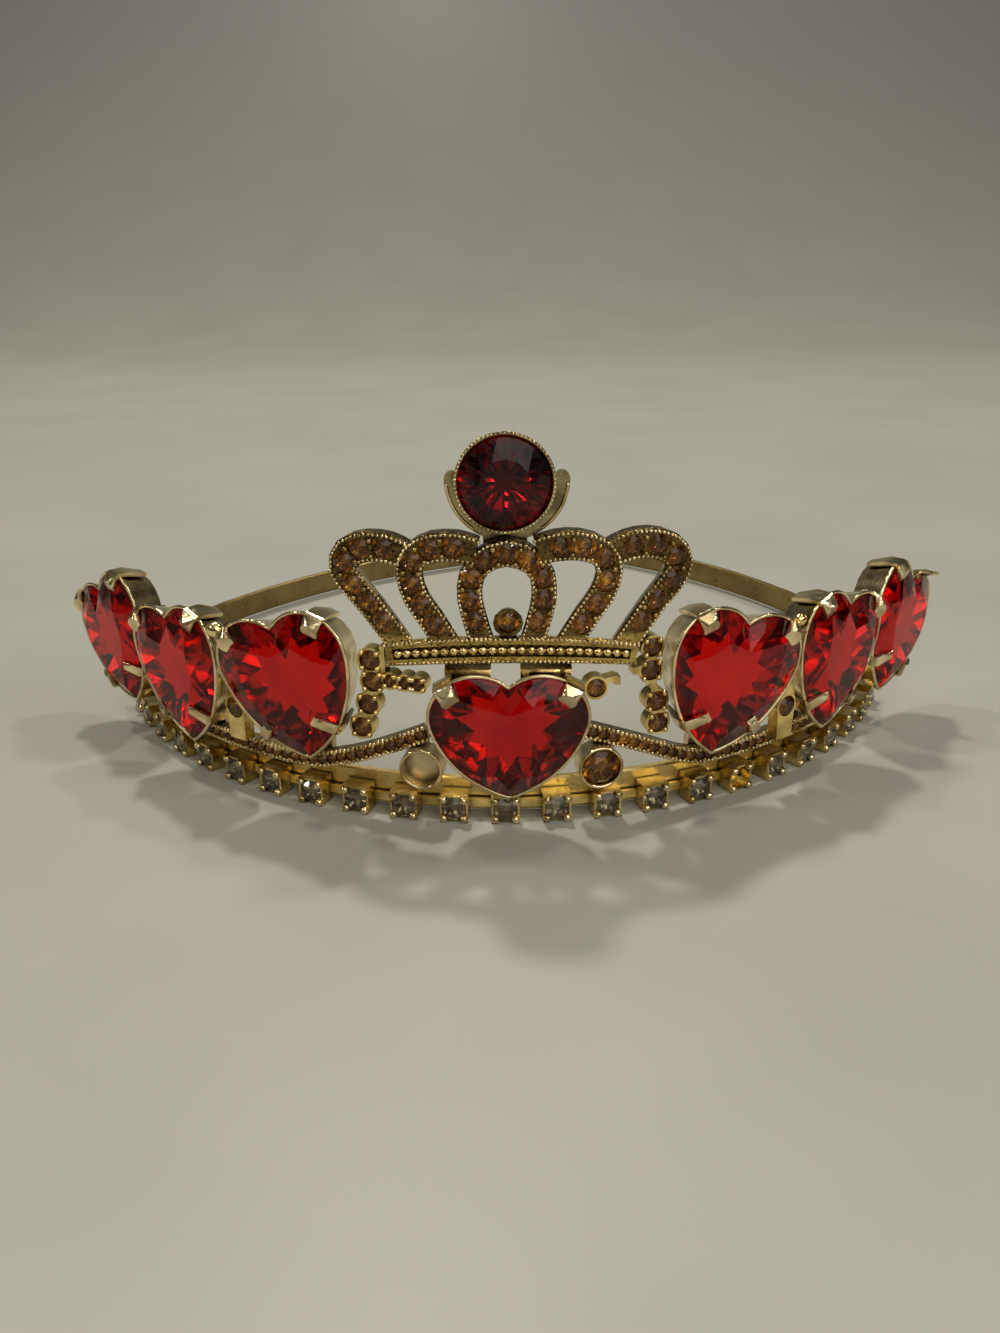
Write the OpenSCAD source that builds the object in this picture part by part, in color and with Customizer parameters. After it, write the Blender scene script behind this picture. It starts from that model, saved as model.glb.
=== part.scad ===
// Crown headband: seven heart stones and a cast crown on an open metal band.
// Millimetres, +Z up. It stands on its foot, and the stones face -Y.

/* [Band] */
// Outer radius of the band behind the stones
band_r = 60; // [59.5:0.1:60]
// Height of the band's strip
band_h = 4.5; // [4:0.1:4.5]
// Thickness of the band's strip
band_t = 1; // [0.8:0.1:1.2]
// Space under the band
band_lift = 0.35; // [0.2:0.05:0.5]
// Half angle of the band's round front
front_angle = 66; // [65:1:68]

/* [Base chain] */
// Angle from one claw cup to the next
cup_step = 5.87; // [5.8:0.01:5.9]
// Number of claw cups on each side of the middle one
cups_a_side = 11; // [9:1:11]
// Width and height of a square cup
cup_w = 3.5; // [3.3:0.1:3.5]
// Depth of a cup with its claws
cup_d = 2.75; // [2.6:0.05:2.9]
// The cup that has lost its stone, counted from the middle to the right
bare_cup = 5; // [-9:1:9]

/* [Heart stones] */
// Width of a heart stone
heart_w = 18.4; // [17.6:0.1:18.4]
// Height of the table above the girdle
heart_crown_h = 1.5; // [1.2:0.1:1.8]
// Depth of the stone below the girdle
heart_keel_h = 2.8; // [2.4:0.1:3]
// Size of the table, as a share of the stone
table_share = 0.62; // [0.55:0.01:0.66]

/* [Crown] */
// Radius of the crown's front, about the band's centre
crown_r = 63; // [62.8:0.1:63.2]
// Thickness of the crown
crown_t = 1.9; // [1.8:0.02:1.9]
// Width of a loop's stroke
loop_w = 3.27; // [3.17:0.05:3.27]
// Radius of a crown stone
crown_stone_r = 1.2; // [1.1:0.02:1.24]

/* [Top stone] */
// Radius of the round stone on top
top_stone_r = 5.12; // [4.8:0.04:5.2]
// Height of its centre
top_z = 42.4; // [42.3:0.05:42.8]

/* [Strands] */
// Width of a fine strand
strand_w = 1.9; // [1.7:0.1:1.9]
// Radius of a strand's stone
strand_stone_r = 0.58; // [0.5:0.02:0.6]
// Distance from one strand stone to the next
strand_pitch = 1.45; // [1.4:0.05:1.6]

/* [Hidden] */

// Smallest gap between two pieces
gap = 0.12;
// Radius on which distances along the front are counted
front_r = 62.8;
// Centre of the band's round front, seen from the middle of the whole piece
centre_x = 0.03;
centre_y = 8.25;
band_top = band_lift + band_h;
foot_z = cup_w / 2;

gold = [0.83, 0.66, 0.30];
band_gold = [0.70, 0.62, 0.42];
heart_red = [0.72, 0.03, 0.05];
top_red = [0.33, 0.02, 0.05];
amber = [0.50, 0.27, 0.08];
smoky = [0.52, 0.47, 0.40];

// Bends of the band's arms behind the front: radius, angle
left_bends = [[38, 57], [100, 34]];
right_bends = [[47, 51], [95, 27]];

// Hearts, from the left: angle, girdle radius, height of the middle, stone height, tilt, lean,
// angle that the face turns to, depth of the setting
hearts = [
    [-58.8, 65.5, 14.0, 17.7, 25.0, 0, -45.0, 4.5],
    [-41.0, 65.0, 14.7, 17.7, 11.5, 0, -41.5, 4.2],
    [-23.8, 64.8, 16.9, 17.7, 15.0, 0, -23.8, 4.6],
    [  0.4, 64.6, 12.4, 16.2,  0.0, 6,   0.4, 3.3],
    [ 25.2, 64.8, 16.8, 17.7, -14.8, 0, 25.2, 4.6],
    [ 42.1, 65.0, 15.6, 17.7, -13.0, 0, 42.5, 4.5],
    [ 59.6, 65.8, 14.5, 17.7, -25.0, 0, 47.6, 4.5]];
HEART_ANGLE = 0;
HEART_R = 1;
HEART_Z = 2;
HEART_H = 3;
HEART_TILT = 4;
HEART_LEAN = 5;
HEART_FACE = 6;
HEART_DEPTH = 7;

// Heart outline: a lobe and a flank on each side, as shares of the width
lobe_share = 0.29;
flank_share = 0.775;
// Points on a lobe and on a flank, counted without the notch
lobe_steps = 7;
flank_steps = 5;

// Wall round a stone: how far its inside and outside stand off the girdle, in front and at the back
wall_front_in = 0.22;
wall_front_out = 0.46;
wall_back_in = -1.35;
wall_back_out = -1.0;
// Claws: place on the outline, direction they face, width, reach over the stone
claws = [
    [0.30, 60, 2.4, 2.3],
    [0.83, -38, 1.4, 2.9]];
claw_t = 0.45;
// Heart that has only its upper claws
bare_heart = 4;
// Blocks behind the middle heart, under the crown's bar: left end, right end
saddle_heart = 4;
saddle_blocks = [[-7.4, -2.0], [1.4, 7.4]];
saddle_low = 6.2;
saddle_top = 8.15;
// How far the blocks reach behind the wall's back edge and in front of it
saddle_back = 1;
saddle_front = 1.2;
// Pocket in the right block: left end, right end, height, depth
saddle_pocket = [2.4, 6.2, 0.8, 0.6];
// Thickness of the stone's girdle
girdle = 0.3;
// Heart whose upper outer claw is bent away from the stone: its number, the bent claw's place
// on the outline and the direction it faces
bent_heart = 7;
bent_at = 0.17;
bent_facing = 81;
foot_w = 2.2;
foot_aside = 0.9;

// Crown loops: distance along the front, height, share of the stroke's width
outer_loop_left = [
    [-11.3, 34.0, 0.95], [-13.2, 34.7, 1.06], [-15.8, 34.8, 1.1], [-18.1, 33.9, 1.14],
    [-18.8, 31.9, 1.15], [-17.3, 29.8, 1.05], [-15.3, 27.5, 1], [-12.1, 23.1, 1]];
inner_loop_left = [
    [-3.1, 34.6, 0.95], [-5.2, 35.1, 1.06], [-8.0, 35.0, 1.06], [-10.2, 33.9, 1],
    [-10.8, 31.8, 1], [-10.0, 29.0, 1], [-8.4, 26.6, 1], [-6.5, 23.4, 1]];
middle_loop = [
    [-2.5, 23.8, 0.9], [-3.6, 27.6, 0.9], [-3.9, 30.4, 0.9], [-2.9, 33.1, 0.92],
    [0.3, 34.5, 1], [3.7, 33.1, 0.92], [4.6, 30.4, 0.9], [4.3, 27.6, 0.9], [3.2, 23.8, 0.9]];
inner_loop_right = [
    [3.8, 34.6, 0.95], [5.9, 35.1, 1.06], [8.6, 35.1, 1.06], [11.2, 34.1, 1],
    [12.1, 32.0, 1], [11.3, 29.3, 1], [9.6, 26.9, 1], [7.4, 23.4, 1]];
outer_loop_right = [
    [12.3, 34.0, 0.95], [14.3, 34.7, 1.06], [16.8, 34.9, 1.1], [19.4, 34.1, 1.12],
    [20.7, 32.2, 1.1], [19.7, 30.0, 1.05], [17.6, 27.6, 1], [14.1, 22.7, 1]];
// Loops: points, number of stones, free length before the first and after the last stone,
// how far its faces lie under the crown's, the side of the path with the opening
loops = [
    [outer_loop_left, 6, 2.6, 3.5, 0.12, 1],
    [inner_loop_left, 6, 2.6, 2.9, 0.06, 1],
    [middle_loop, 9, 2.6, 2.6, 0.12, 0],
    [inner_loop_right, 6, 2.6, 2.9, 0.06, 0],
    [outer_loop_right, 6, 2.6, 3.6, 0.12, 0]];
// Slices between two points of a loop
loop_slices = 2;

// Bar under the loops: left end, right end, height of its middle. At 10 mm from the middle it has
// dropped by bar_drop and lost a share of bar_h.
bar_left = -13.9;
bar_right = 15.7;
bar_z = 22.97;
bar_drop = 0.55;
bar_h = 3.4;
bar_loss = 0.07;
bar_slices = 11;
bar_beads = 25;
// Small round stone that stands on the bar inside the middle loop
keystone = [0.45, 26.4];
keystone_cup_r = 1.75;
keystone_foot = 1.9;

// Strands, from the middle outwards: distance along the front, height, share of the width
strand_path_left = [
    [-9.9, 11.4, 1], [-12.6, 10.25, 1], [-15.5, 9.05, 1], [-18.5, 7.9, 1], [-21.5, 6.95, 1],
    [-24.5, 6.15, 1], [-28.0, 5.85, 1], [-35.0, 5.85, 1], [-42.0, 5.85, 1],
    [-49.0, 5.85, 1], [-55.5, 5.85, 1]];
strand_path_right = [
    [10.3, 11.6, 1], [13.0, 10.7, 1], [16.0, 9.6, 1], [19.0, 8.45, 1], [22.0, 7.15, 1],
    [25.0, 6.15, 1], [28.5, 5.85, 1], [35.5, 5.85, 1], [42.5, 5.85, 1],
    [49.0, 5.85, 1], [55.5, 5.85, 1]];
strand_t = 1.55;
strand_slices = 2;
strand_r = band_r + 0.15;

// Round cups beside the second hearts: distance along the front, height, cup radius
side_cups_left = [
    [-16.1, 21.0, 1.6], [-15.9, 18.3, 1.6], [-16.6, 15.3, 1.6], [-17.6, 12.2, 1.6],
    [-13.7, 18.6, 1.15], [-11.8, 18.5, 1.15], [-10.2, 18.45, 1.15]];
side_cups_right = [
    [17.75, 22.2, 1.5], [17.7, 19.3, 1.6], [18.6, 15.2, 1.6], [18.9, 12.3, 1.6]];
broken_cups = [[10.9, 17.7, 1.5]];
side_r = 61.1;
side_t = 1.7;

// Empty cup on the left, stone-set cup on the right: distance along the front, height, radius
round_left = [-10.3, 7.1, 2.7];
round_right = [11.8, 7.05, 2.8];
round_r = 60.3;
round_t = 2.5;

// Wedges with a cup, and solder beads, between the second and third hearts: angle, radius of
// the base or of the middle, height
link_left = [-32.7, 62.15, 11.9];
link_right = [33.7, 63.1, 11.6];
joint_left = [-33.5, 64.75, 22.6];
joint_right = [34.6, 64.6, 23.0];
// Outline of a wedge about its cup
link_outline = [
    [-1.3, -4.4], [1.4, -4.4], [1.5, 0], [0.9, 2.4], [0.5, 3.6], [-0.5, 3.6], [-1.0, 2.4],
    [-1.5, 0]];

function deg_of(s) = s / front_r * 180 / PI;

// Puts children on the front: x runs to the right, y up and z outwards
module at_front(angle, r, z) {
    translate([centre_x, centre_y, 0])
        rotate([0, 0, angle]) translate([0, -r, z]) rotate([90, 0, 0]) children();
}

module at_heart(h) {
    at_front(h[HEART_ANGLE], h[HEART_R], h[HEART_Z])
        rotate([0, h[HEART_FACE] - h[HEART_ANGLE], 0])
            rotate([h[HEART_LEAN], 0, 0]) rotate([0, 0, h[HEART_TILT]]) children();
}

// A smooth curve through a list of points, k steps from each point to the next
function curve_point(a, b, c, d, t) =
    0.5 * (2 * b + (c - a) * t + (2 * a - 5 * b + 4 * c - d) * t * t
        + (3 * b - a - 3 * c + d) * t * t * t);
function curve(p, k) = concat(
    [for (i = [0:len(p) - 2], j = [0:k - 1])
        curve_point(p[max(i - 1, 0)], p[i], p[i + 1], p[min(i + 2, len(p) - 1)], j / k)],
    [p[len(p) - 1]]);

// Direction of a path at its point i
function heading(p, i) = let (d = p[min(i + 1, len(p) - 1)] - p[max(i - 1, 0)])
    atan2(d[1], d[0]);

// Length of a path up to its point i, and the point at a given length
function run_to(p, i) = i == 0 ? 0 : run_to(p, i - 1) + norm(p[i] - p[i - 1]);
function at_run(p, length, i = 1) =
    let (step = norm(p[i] - p[i - 1]))
    length <= step || i == len(p) - 1
        ? p[i - 1] + (p[i] - p[i - 1]) * length / step
        : at_run(p, length - step, i + 1);

// Evenly spaced points along a path, with free ends
function spaced(p, n, before, after) =
    let (whole = run_to(p, len(p) - 1), step = (whole - before - after) / (n - 1))
    [for (i = [0:n - 1]) at_run(p, before + i * step)];

// A point on the front: radius, distance along the front, height
function on_front(r, s, z) = [centre_x + r * sin(deg_of(s)), centre_y - r * cos(deg_of(s)), z];

// A section swept along a path on the front. A section point is an offset across the path and
// an offset outwards from radius r, and the section runs counterclockwise. A path point is
// distance along the front, height and share of the section's width.
module sweep(path, r, section) {
    n = len(section);
    m = len(path);
    polyhedron(
        points = [for (i = [0:m - 1]) let (h = heading(path, i)) for (q = section)
            on_front(r + q[1], path[i][0] - q[0] * path[i][2] * sin(h),
                path[i][1] + q[0] * path[i][2] * cos(h))],
        faces = concat(
            [[for (j = [0:n - 1]) j]],
            [[for (j = [n - 1:-1:0]) (m - 1) * n + j]],
            [for (i = [0:m - 2], j = [0:n - 1]) let (k = (j + 1) % n)
                [i * n + j, (i + 1) * n + j, (i + 1) * n + k]],
            [for (i = [0:m - 2], j = [0:n - 1]) let (k = (j + 1) % n)
                [i * n + j, (i + 1) * n + k, i * n + k]]));
}

// Sections: a bar with bevelled front edges that may be narrower behind, on its first and on its
// second side, and a bar with a channel in its front
function bar_section(w, t, edge, first = 0, second = 0) = [
    [first - w / 2, 0], [w / 2 - second, 0], [w / 2, t - edge], [w / 2 - edge, t],
    [edge - w / 2, t], [-w / 2, t - edge]];
function channel_section(w, t, edge, groove, depth) = [
    [-w / 2, 0], [w / 2, 0], [w / 2, t - edge], [w / 2 - edge, t],
    [groove / 2 + 0.05, t], [groove / 2, t - depth], [-groove / 2, t - depth],
    [-groove / 2 - 0.05, t], [edge - w / 2, t], [-w / 2, t - edge]];

// Ring of n points, clockwise as seen from the front
function ring(r, n, z, turn = 0) =
    [for (i = [0:n - 1]) [r * cos(turn - i * 360 / n), r * sin(turn - i * 360 / n), z]];

// Small round cut stone, with its girdle at z 0 and its table in front
module small_stone(r, n = 8) {
    table = 0.58 * r;
    crown = 0.36 * r;
    keel = 0.7 * r;
    polyhedron(
        points = concat([[0, 0, -keel]], ring(r, n, 0), ring(table, n, crown)),
        faces = concat(
            [for (i = [0:n - 1]) [0, 1 + (i + 1) % n, 1 + i]],
            [for (i = [0:n - 1]) [1 + i, 1 + (i + 1) % n, 1 + n + (i + 1) % n, 1 + n + i]],
            [[for (i = [0:n - 1]) 1 + n + i]]));
}

// Large cut stone between a keel, a girdle band and a table. The girdle rings have twice as many
// points as the keel and the table, and all of them run clockwise as seen from the front.
module large_stone(keel, low, high, table) {
    m = len(table);
    g = 2 * m;
    function k(i) = i % m;
    function l(i) = m + i % g;
    function h(i) = m + g + i % g;
    function t(i) = m + 2 * g + i % m;
    polyhedron(
        points = concat(keel, low, high, table),
        faces = concat(
            [[for (i = [m - 1:-1:0]) k(i)]],
            [for (i = [0:m - 1]) [k(i), l(2 * i + 1), l(2 * i)]],
            [for (i = [0:m - 1]) [k(i), k(i + 1), l(2 * i + 1)]],
            [for (i = [0:m - 1]) [k(i + 1), l(2 * i + 2), l(2 * i + 1)]],
            [for (i = [0:g - 1]) [l(i), l(i + 1), h(i + 1), h(i)]],
            [for (i = [0:m - 1]) [t(i), h(2 * i), h(2 * i + 1)]],
            [for (i = [0:m - 1]) [t(i), h(2 * i + 1), t(i + 1)]],
            [for (i = [0:m - 1]) [t(i + 1), h(2 * i + 1), h(2 * i + 2)]],
            [[for (i = [0:m - 1]) t(i)]]));
}

// Heart of width w and height h, moved outwards by grow: the right side from notch to tip
function heart_side(w, h, grow) =
    let (lobe = lobe_share * w, flank = flank_share * w, cx = w / 2 - lobe, cy = h / 2 - lobe,
        d = flank - lobe, v = norm([cx, cy + h / 2]),
        turn = atan2(cy + h / 2, cx) - acos((v * v + d * d - flank * flank) / (2 * d * v)),
        fx = cx - d * cos(turn), fy = cy - d * sin(turn),
        notch = 180 - acos(cx / (lobe + grow)), tip = -acos(-fx / (flank + grow)))
    concat(
        [for (i = [0:lobe_steps]) let (a = notch + (turn - notch) * i / lobe_steps)
            [cx + (lobe + grow) * cos(a), cy + (lobe + grow) * sin(a)]],
        [for (i = [1:flank_steps]) let (a = turn + (tip - turn) * i / flank_steps)
            [fx + (flank + grow) * cos(a), fy + (flank + grow) * sin(a)]]);

// The whole outline, clockwise from the notch, at height z and shrunk about its middle
function heart(w, h, grow = 0, z = 0, share = 1) =
    let (side = heart_side(w, h, grow), n = len(side))
    concat(
        [for (p = side) [p[0] * share, p[1] * share, z]],
        [for (i = [n - 2:-1:1]) [-side[i][0] * share, side[i][1] * share, z]]);

// Every second point of an outline
function thinned(p) = [for (i = [0:2:len(p) - 1]) p[i]];

module headband() {
    edge = 0.2;
    step = 0.05;
    lap = 0.5;
    // One arc of the strip. Each further arc of an arm is a little thinner than the last.
    module strip(r, angle, thinner) {
        t = band_t / 2 - thinner;
        low = band_lift + thinner;
        high = band_top - thinner;
        rotate_extrude(angle = angle, $fn = 180) translate([r, 0])
            polygon([
                [-t, low + edge], [edge - t, low], [t - edge, low], [t, low + edge],
                [t, high - edge], [t - edge, high], [edge - t, high], [-t, high - edge]]);
    }
    module round_end() {
        difference() {
            translate([-band_t, -band_h / 2, band_lift - 1]) cube([2 * band_t, band_h, band_h + 2]);
            translate([0, -band_h / 2, band_lift + band_h / 2]) rotate([0, 90, 0])
                cylinder(r = band_h / 2, h = 3 * band_t, center = true, $fn = 48);
        }
    }
    module arm(bends, i = 0) {
        r = bends[i][0];
        angle = bends[i][1];
        start = -lap / r * 180 / PI;
        last = i == len(bends) - 1;
        difference() {
            translate([-r, 0, 0]) rotate([0, 0, start]) strip(r, angle - start, (i + 1) * step);
            if (last) translate([-r, 0, 0]) rotate([0, 0, angle]) translate([r, 0, 0]) round_end();
        }
        if (!last)
            translate([-r, 0, 0]) rotate([0, 0, angle]) translate([r, 0, 0]) arm(bends, i + 1);
    }
    mid_r = band_r - band_t / 2;
    color(band_gold) translate([centre_x, centre_y, 0]) {
        rotate([0, 0, -90 - front_angle]) strip(mid_r, 2 * front_angle, 0);
        rotate([0, 0, front_angle - 90]) translate([mid_r, 0, 0]) arm(right_bends);
        mirror([1, 0, 0]) rotate([0, 0, front_angle - 90]) translate([mid_r, 0, 0])
            arm(left_bends);
    }
}

chain_r = band_r + 0.1;
cup_floor = 0.6;
cup_bore_r = 1.52;
cup_stone_r = 1.38;
cup_stone_z = 1.95;

module base_chain() {
    claw_h = 0.35;
    claw_gap = 1.9;
    link_h = 1.1;
    link_t = 0.45;
    module cup() {
        difference() {
            translate([-cup_w / 2, -cup_w / 2, 0]) cube([cup_w, cup_w, cup_d]);
            translate([0, 0, cup_floor]) cylinder(r = cup_bore_r, h = cup_d, $fn = 48);
            for (turn = [0, 90]) rotate([0, 0, turn])
                translate([-cup_w, -claw_gap / 2, cup_d - claw_h])
                    cube([2 * cup_w, claw_gap, cup_d]);
        }
    }
    color(gold) {
        for (i = [-cups_a_side:cups_a_side]) at_front(i * cup_step, chain_r, foot_z) cup();
        translate([centre_x, centre_y, foot_z - link_h / 2])
            rotate([0, 0, -90 - cups_a_side * cup_step])
                rotate_extrude(angle = 2 * cups_a_side * cup_step, $fn = 180)
                    translate([chain_r + 0.2, 0]) square([link_t, link_h]);
    }
}

module base_chain_stones() {
    color(smoky) for (i = [-cups_a_side:cups_a_side])
        if (i != bare_cup) at_front(i * cup_step, chain_r + cup_stone_z, foot_z)
            rotate([0, 0, 22.5]) small_stone(cup_stone_r);
}

function bar_point(s) =
    [s, bar_z - bar_drop * s * s / 100, 1 - bar_loss * s * s / 100];
function bar_path(from, to) =
    [for (i = [0:bar_slices]) bar_point(from + (to - from) * i / bar_slices)];
function loop_path(loop) = curve(loop[0], loop_slices);
function loop_stones(loop) = spaced(loop_path(loop), loop[1], loop[2], loop[3]);

crown_back_r = crown_r - crown_t;
seat_r = crown_stone_r + gap;
seat_depth = 1.1;
seat_sides = 8;
seat_turn = 12;

module crown_emblem() {
    channel_w = 1.5;
    channel_depth = 0.45;
    end_w = 0.8;
    bead_r = 0.5;
    draft = 0.45;
    color(gold) union() {
        difference() {
            union() {
                // The side of a loop that looks to its opening leans back
                for (loop = loops)
                    sweep(loop_path(loop), crown_back_r + loop[4],
                        bar_section(loop_w, crown_t - 2 * loop[4], 0.3,
                            loop[5] == 0 ? draft : 0, loop[5] == 1 ? draft : 0));
                sweep(bar_path(bar_left, bar_right), crown_back_r,
                    bar_section(bar_h, crown_t, 0.35, draft, draft));
                at_front(deg_of(keystone[0]), crown_back_r + 0.2, keystone[1]) {
                    cylinder(r1 = keystone_cup_r - draft, r2 = keystone_cup_r,
                        h = crown_t - 0.1, $fn = 12);
                    translate([-keystone_foot / 2, bar_z - keystone[1], 0.1])
                        cube([keystone_foot, keystone[1] - bar_z - 0.9, crown_t - 0.9]);
                }
            }
            for (loop = loops, p = loop_stones(loop))
                at_front(deg_of(p[0]), crown_r - seat_depth, p[1]) rotate([0, 0, seat_turn])
                    cylinder(r = seat_r, h = 2, $fn = seat_sides);
            at_front(deg_of(keystone[0]), crown_r - seat_depth, keystone[1])
                cylinder(r = seat_r, h = 2, $fn = seat_sides);
            sweep(bar_path(bar_left + end_w, bar_right - end_w), crown_r - channel_depth,
                bar_section(channel_w, 1, 0.1));
        }
        for (i = [0:bar_beads - 1]) {
            p = bar_point(bar_left + end_w + (bar_right - bar_left - 2 * end_w)
                * (i + 0.5) / bar_beads);
            at_front(deg_of(p[0]), crown_r - channel_depth - 0.1, p[1]) hull() {
                linear_extrude(0.25) circle(r = bead_r, $fn = 6);
                linear_extrude(0.6) circle(r = bead_r / 2, $fn = 6);
            }
        }
    }
}

module crown_stones() {
    sink = 0.15;
    color(amber) {
        for (loop = loops, p = loop_stones(loop))
            at_front(deg_of(p[0]), crown_r - sink, p[1]) small_stone(crown_stone_r);
        at_front(deg_of(keystone[0]), crown_r - sink, keystone[1]) small_stone(crown_stone_r);
    }
}

// The top cup flares a little, and stands on a plate that reaches down behind the crown
plate_t = 1;
top_plate_r = crown_back_r - 0.15 - plate_t;
top_cup_d = 3.3;
top_s = 0.2;

module top_setting() {
    wing_r = 6.98;
    wing_x = 0.25;
    wing_down = 7.5;
    ear_r = 0.9;
    ear_x = 6.1;
    tab_w = 5;
    tab_down = 8.1;
    r = top_stone_r;
    color(gold) at_front(deg_of(top_s), top_plate_r, top_z) {
        linear_extrude(plate_t) {
            intersection() {
                translate([wing_x, 0]) circle(r = wing_r, $fn = 96);
                translate([wing_x - wing_r, -wing_down]) square([2 * wing_r, wing_down]);
            }
            for (side = [-1, 1]) translate([wing_x + side * ear_x, 0]) circle(r = ear_r, $fn = 48);
            translate([-tab_w / 2, -tab_down]) square([tab_w, tab_down]);
        }
        rotate_extrude($fn = 96) polygon([
            [0, 0.1], [r, 0.1], [r + 0.5, top_cup_d], [r + 0.15, top_cup_d],
            [r - 0.3, plate_t], [0, plate_t]]);
    }
}

module top_stone() {
    m = 10;
    crown = 1.35;
    keel_z = -1.6;
    color(top_red) at_front(deg_of(top_s), top_plate_r + top_cup_d - 0.25, top_z)
        large_stone(ring(0.25 * top_stone_r, m, keel_z, 90),
            ring(top_stone_r, 2 * m, -0.2, 90), ring(top_stone_r, 2 * m, 0, 90),
            ring(0.55 * top_stone_r, m, crown, 90));
}

// Heart stone, or the room that its claws leave for it when there is a clearance
module cut_heart(tall, clearance = 0) {
    low = -girdle - clearance;
    large_stone(thinned(heart(heart_w, tall, clearance, low - heart_keel_h, 0.25)),
        heart(heart_w, tall, clearance, low), heart(heart_w, tall, clearance, clearance),
        thinned(heart(heart_w, tall, clearance, heart_crown_h + clearance, table_share)));
}

module heart_setting(i) {
    h = hearts[i - 1];
    depth = h[HEART_DEPTH];
    tilt = h[HEART_TILT];
    w = heart_w;
    tall = h[HEART_H];
    // Rings of the wall: outside back and front, inside front and back
    rings = [heart(w, tall, wall_back_out, -depth), heart(w, tall, wall_front_out, 0),
        heart(w, tall, wall_front_in, 0), heart(w, tall, wall_back_in, -depth)];
    n = len(rings[0]);
    slope = atan(heart_crown_h / (0.5 * (1 - table_share) * w));
    side_points = heart_side(w, tall, 0);
    function outline_point(share) = side_points[round(share * (len(side_points) - 1))];
    kept_claws = i == bare_heart ? [claws[0]] : claws;
    // The bent prong stands straight off the wall
    module bent_prong() {
        at = outline_point(bent_at);
        translate([at[0], at[1], 0]) rotate([0, 0, bent_facing - 90]) hull() {
            translate([-0.8, -0.4, -1.8]) cube([1.6, claw_t, 0.2]);
            translate([-0.6, wall_front_in + 0.1, 0.2]) cube([1.2, claw_t - 0.1, 0.2]);
            translate([-0.25, wall_front_in + 0.2, 2.1]) cube([0.5, 0.25, 0.1]);
        }
    }
    module saddle() {
        lip = 0.35;
        difference() {
            for (b = saddle_blocks) translate([b[0], saddle_low, -depth - saddle_back])
                cube([b[1] - b[0], saddle_top - saddle_low, saddle_back + saddle_front]);
            translate([saddle_pocket[0], saddle_top - lip - saddle_pocket[2],
                saddle_front - depth - saddle_pocket[3]])
                cube([saddle_pocket[1] - saddle_pocket[0], saddle_pocket[2], 1]);
        }
    }
    // A claw stands on the wall at a point of the outline and bends over the bevel
    module claw(at, facing, width, reach) {
        tip_r = 0.47 * width;
        translate([at[0], at[1], 0]) rotate([0, 0, facing - 90]) {
            hull() {
                translate([-width / 2, wall_front_in + 0.03, -1.6])
                    cube([width, claw_t, 1.8]);
                translate([-width / 3, -0.6, -depth + 0.3]) cube([width / 1.5, claw_t, 0.2]);
            }
            hull() {
                translate([-width / 2, wall_front_in + 0.03, 0.1])
                    cube([width, claw_t, 0.15]);
                translate([-width / 2, 0, 0.22]) cube([width, claw_t, claw_t]);
                translate([0, tip_r - reach, (reach - tip_r) * tan(slope) + 0.14])
                    rotate([slope, 0, 0]) cylinder(r = tip_r, h = claw_t, $fn = 12);
            }
        }
    }
    color(gold) {
        at_heart(h) {
            polyhedron(
                points = concat(rings[0], rings[1], rings[2], rings[3]),
                faces = [for (k = [0:3], j = [0:n - 1]) let (a = k * n, b = (k + 1) % 4 * n)
                    [a + j, a + (j + 1) % n, b + (j + 1) % n, b + j]]);
            difference() {
                for (side = [0, 1], c = kept_claws) mirror([side, 0, 0]) {
                    if (i == bent_heart && side == 0 && c == claws[0]) bent_prong();
                    else claw(outline_point(c[0]), c[1], c[2], c[3]);
                }
                cut_heart(tall, gap);
            }
            if (i == saddle_heart) saddle();
        }
        // A foot behind the tip stands on the band's upper edge, behind the strand
        if (h[HEART_LEAN] == 0) {
            tip_z = h[HEART_Z] - tall / 2 * cos(tilt);
            aside = tall / 2 * sin(tilt);
            inwards = depth - 1.2;
            face = h[HEART_FACE] - h[HEART_ANGLE];
            foot_x = aside * cos(face) - inwards * sin(face);
            foot_y = h[HEART_R] - aside * sin(face) - inwards * cos(face);
            outwards = sign(h[HEART_ANGLE]) * foot_aside;
            at_front(h[HEART_ANGLE] + atan2(foot_x + outwards, foot_y), band_r - band_t, 0) {
                translate([-foot_w / 2, band_top + gap, 0])
                    cube([foot_w, tip_z + 2.4 - band_top - gap, band_t]);
                translate([-foot_w / 2, max(tip_z + 0.8, 7.0), 0])
                    cube([foot_w, tip_z + 2.4 - max(tip_z + 0.8, 7.0),
                        norm([foot_x, foot_y]) - band_r + band_t]);
            }
        }
    }
}

module heart_stone(i) {
    h = hearts[i - 1];
    color(heart_red) at_heart(h) cut_heart(h[HEART_H]);
}

function strand_stones(path) =
    let (whole = run_to(path, len(path) - 1), n = floor((whole - 1.4) / strand_pitch) + 1)
    [for (i = [0:n - 1]) at_run(path, 0.7 + i * strand_pitch)];

module strand(points) {
    groove = 2 * (strand_stone_r + gap);
    color(gold) sweep(curve(points, strand_slices), strand_r,
        channel_section(strand_w, strand_t, 0.15, groove, 0.75));
}

module strand_set(points) {
    color(amber) for (p = strand_stones(curve(points, strand_slices)))
        at_front(deg_of(p[0]), strand_r + strand_t - 0.1, p[1]) small_stone(strand_stone_r, 6);
}

// Cups of one side chain are parallel, so they stand in one flat frame at the first cup
module in_side_frame(cups) {
    at_front(deg_of(cups[0][0]), side_r, 0) children();
}

function side_x(cups, i) = cups[i][0] - cups[0][0];
cup_wall = 0.3;

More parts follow.
